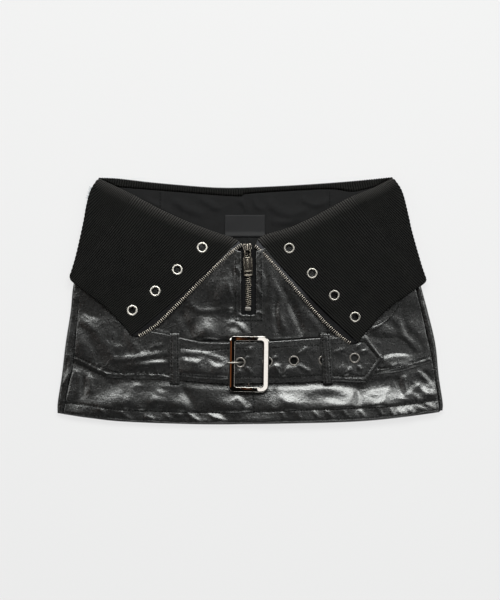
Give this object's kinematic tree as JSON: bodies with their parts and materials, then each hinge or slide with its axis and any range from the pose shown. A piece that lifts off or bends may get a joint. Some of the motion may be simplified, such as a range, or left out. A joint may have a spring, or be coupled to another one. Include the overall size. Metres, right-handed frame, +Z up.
{
  "type": "leather skort",
  "caption": "Black coated-leather mini skort laid flat, with a buckled belt and a wide ribbed fold-over collar whose zip is open.",
  "frame": {"origin": "centre of the bounding box's underside, on the surface that the garment lies on", "axes": "+X across the front, towards the wearer's left side; +Y from the hem up to the waist; +Z up out of the cloth, away from the surface"},
  "size_m": [0.4699, 0.3006, 0.0171],
  "materials": {
    "coated_leather": "near-black polyurethane-coated leather with a fine grain and a soft gloss",
    "rib_knit": "matt black rib knit",
    "facing_cloth": "smooth black facing cloth",
    "lining_jersey": "plain black jersey",
    "zip_tape": "woven black zip tape",
    "label_satin": "charcoal satin, with no print",
    "nickel": "bright nickel plate",
    "aged_nickel": "antique nickel plate, darker in its hollows",
    "dark_steel": "polished dark gunmetal plate"
  },
  "bodies": {
    "garment": {"back_panel": "coated_leather", "front_left": "coated_leather", "front_right": "coated_leather", "flap_left": "coated_leather", "flap_right": "coated_leather", "under_strap": "coated_leather", "belt_strap": "coated_leather", "belt_eyelet_1": "nickel", "belt_eyelet_2": "nickel", "belt_eyelet_3": "nickel", "belt_eyelet_4": "nickel", "belt_eyelet_5": "nickel", "belt_loop_left": "coated_leather", "belt_loop_right": "coated_leather", "collar_left": "rib_knit", "collar_right": "rib_knit", "collar_back": "rib_knit", "collar_eyelet_left_1": "nickel", "collar_eyelet_left_2": "nickel", "collar_eyelet_left_3": "nickel", "collar_eyelet_left_4": "nickel", "collar_eyelet_right_1": "nickel", "collar_eyelet_right_2": "nickel", "collar_eyelet_right_3": "nickel", "collar_eyelet_right_4": "nickel", "waist_facing": "facing_cloth", "waist_label": "label_satin", "inner_shorts": "lining_jersey", "zip_tape_closed": "zip_tape", "zip_tape_left": "zip_tape", "zip_tape_right": "zip_tape", "zip_bottom_stop": "aged_nickel", "zip_slider": "aged_nickel", "buckle_frame": "dark_steel", "buckle_prong": "dark_steel"},
    "pull_tab": {"zip_pull_tab": "aged_nickel"}
  },
  "joints": [
    {"name": "pull_tab_hinge", "type": "hinge", "parent": "garment", "child": "pull_tab", "pos_m": [-0.0034, 0.0624, 0.0116], "axis": [-0.9991, -0.0419, 0], "range_deg": [0, 160]}
  ]
}
